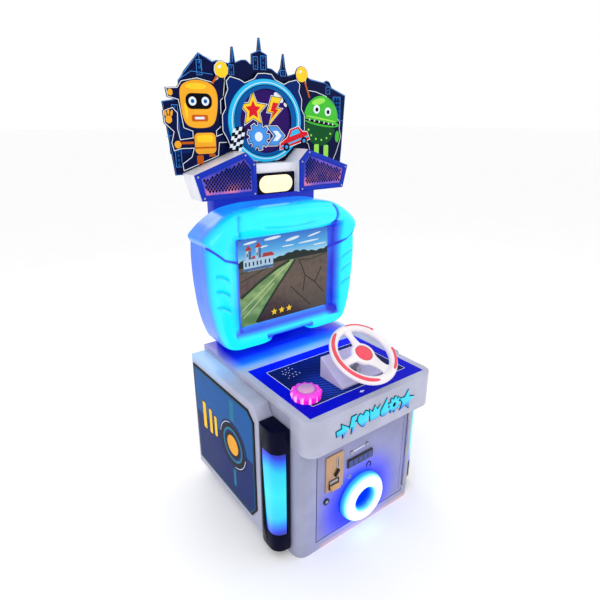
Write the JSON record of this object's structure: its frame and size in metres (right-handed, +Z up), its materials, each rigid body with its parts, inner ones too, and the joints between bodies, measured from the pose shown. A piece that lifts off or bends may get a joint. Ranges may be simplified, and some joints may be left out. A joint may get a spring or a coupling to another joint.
{
  "type": "arcade racing cabinet",
  "caption": "Children's arcade racing cabinet: boxed base with prize outlet and coin door, steering wheel console, glowing screen head and illustrated marquee.",
  "frame": {"origin": "centre of the base's underside, on the floor", "axes": "+Z up, -Y towards the player, +X to the player's right"},
  "size_m": [0.705, 0.6457, 1.536],
  "materials": {
    "pearl_board": "pearl white paint on board",
    "pearl_shell": "pearl white, satin",
    "white_plastic": "white, satin",
    "panel_print": "printed blue film under a clear coat",
    "side_print": "printed blue film on a plate",
    "navy_plastic": "near black, gloss",
    "cyan_diffuser": "translucent cyan, lit from inside",
    "blue_paint": "blue paint on board",
    "blue_plastic": "blue, satin",
    "black_plastic": "black, fine texture",
    "steel": "plain steel",
    "brass_plate": "brushed",
    "coral_rubber": "soft, matt",
    "magenta_diffuser": "translucent magenta, lit from inside",
    "milk_diffuser": "milky white, lit from inside",
    "warm_diffuser": "milky, lit warm white",
    "display": "dark display in a thin case",
    "circuit": "green board with parts",
    "grille_mesh": "dark violet mesh",
    "navy_print": "printed board",
    "purple_print": "printed board",
    "orange_print": "printed board",
    "green_print": "printed board"
  },
  "bodies": {
    "cabinet": {"back_column": "blue_paint", "base_cabinet": "pearl_board", "button_bezel": "magenta_diffuser", "button_switch": "black_plastic", "coin_box": "steel", "console_tray": "pearl_board", "control_panel": "panel_print", "face_shell": "cyan_diffuser", "fan_housing": "black_plastic", "figure_left": "orange_print", "figure_right": "green_print", "front_hinge": "steel", "game_board": "circuit", "hood_shell": "cyan_diffuser", "lamp_housing_left": "navy_plastic", "lamp_housing_right": "navy_plastic", "lamp_lens_left": "cyan_diffuser", "lamp_lens_right": "cyan_diffuser", "marquee_box": "white_plastic", "marquee_lamp": "navy_plastic", "marquee_lens": "warm_diffuser", "monitor": "display", "power_inlet": "black_plastic", "power_supply": "steel", "roundel_board": "purple_print", "sensor_body": "black_plastic", "side_graphic_left": "side_print", "side_graphic_right": "side_print", "side_pod_left": "pearl_shell", "side_pod_right": "pearl_shell", "skyline_board": "navy_print", "speaker_driver_left": "black_plastic", "speaker_driver_right": "black_plastic", "speaker_frame_left": "blue_plastic", "speaker_frame_right": "blue_plastic", "speaker_grille_left": "grille_mesh", "speaker_grille_right": "grille_mesh", "steering_bearing": "steel", "wheel_bracket": "white_plastic"},
    "front_door": {"front_door": "pearl_board", "coin_acceptor": "brass_plate", "prize_ring": "milk_diffuser", "prize_cup": "blue_plastic", "front_lock_barrel": "steel", "coin_counter": "display"},
    "lock_cam": {"front_lock_cam": "steel"},
    "coin_lever": {"coin_return_lever": "black_plastic"},
    "reject_flap": {"coin_reject_flap": "steel"},
    "steering": {"steering_shaft": "steel", "steering_wheel": "white_plastic", "wheel_grip_left": "coral_rubber", "wheel_grip_right": "coral_rubber", "hub_cap": "coral_rubber", "steering_gear": "black_plastic"},
    "turn_sensor": {"sensor_gear": "white_plastic"},
    "start_button": {"button_cap": "magenta_diffuser", "button_spring": "steel"},
    "rear_door": {"rear_door": "pearl_board"},
    "fan": {"fan_rotor": "black_plastic"},
    "rocker": {"rocker_switch": "black_plastic"}
  },
  "joints": [
    {"name": "front_door_swing", "type": "hinge", "parent": "cabinet", "child": "front_door", "pos_m": [0.208, -0.2925, 0.2], "axis": [0, 0, 1], "range_deg": [0, 105]},
    {"name": "front_lock_turn", "type": "hinge", "parent": "front_door", "child": "lock_cam", "pos_m": [-0.148, -0.288, 0.179], "axis": [0, 1, 0], "range_deg": [0, 90]},
    {"name": "coin_lever_turn", "type": "hinge", "parent": "front_door", "child": "coin_lever", "pos_m": [-0.106, -0.2945, 0.284], "axis": [0, 1, 0], "range_deg": [0, 25], "stiffness_Nm_per_rad": 0.05, "springref_deg": -5.73},
    {"name": "reject_flap_swing", "type": "hinge", "parent": "front_door", "child": "reject_flap", "pos_m": [-0.1215, -0.29, 0.2495], "axis": [1, 0, 0], "range_deg": [0, 60]},
    {"name": "steering_turn", "type": "hinge", "parent": "cabinet", "child": "steering", "pos_m": [0.022, -0.248, 0.627], "axis": [0, -0.5, 0.866], "range_deg": [-58, 212]},
    {"name": "turn_sensor_spin", "type": "hinge", "parent": "cabinet", "child": "turn_sensor", "pos_m": [0.058, -0.248, 0.627], "axis": [0, -0.5, 0.866], "range_deg": [-213, 59]},
    {"name": "start_button_press", "type": "slide", "parent": "cabinet", "child": "start_button", "axis": [0, 0, -1], "range_m": [0, 0.004], "stiffness_N_per_m": 800, "springref_m": -0.0015, "deforming": ["button_spring"]},
    {"name": "rear_door_swing", "type": "hinge", "parent": "cabinet", "child": "rear_door", "pos_m": [-0.2, 0.295, 0.278], "axis": [0, 0, 1], "range_deg": [0, 105]},
    {"name": "fan_spin", "type": "hinge", "parent": "cabinet", "child": "fan", "pos_m": [0.14, 0.262, 0.34], "axis": [0, 1, 0], "continuous": true},
    {"name": "rocker_tip", "type": "hinge", "parent": "cabinet", "child": "rocker", "pos_m": [0.15, 0.2905, 0.054], "axis": [1, 0, 0], "range_deg": [-12, 0]}
  ],
  "couplings": [
    {"joint": "turn_sensor_spin", "follows": "steering_turn", "ratio": -1}
  ]
}
